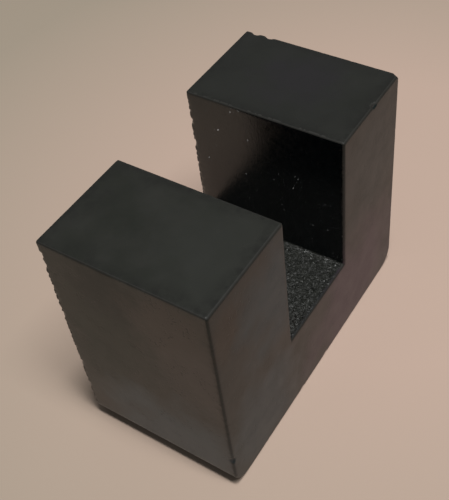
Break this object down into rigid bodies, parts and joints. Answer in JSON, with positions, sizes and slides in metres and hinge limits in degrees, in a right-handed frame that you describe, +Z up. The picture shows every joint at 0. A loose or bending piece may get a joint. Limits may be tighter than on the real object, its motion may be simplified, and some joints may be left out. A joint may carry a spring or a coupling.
{
  "type": "ferrite u-core",
  "caption": "U-shaped ferrite core half, pressed and sintered in one piece, with flat ground pole faces on both legs and a winding window between them.",
  "frame": {"origin": "middle of the back face, on the surface that the core stands on", "axes": "+X from one leg to the other, +Y through the thickness of the U, +Z up the legs towards the pole faces"},
  "size_m": [0.0248, 0.0128, 0.0196],
  "materials": {
    "ferrite": "dark grey sintered ferrite, fine grained and slightly satin, with smooth ground pole faces"
  },
  "bodies": {
    "root": {"u_core": "ferrite"}
  },
  "joints": []
}
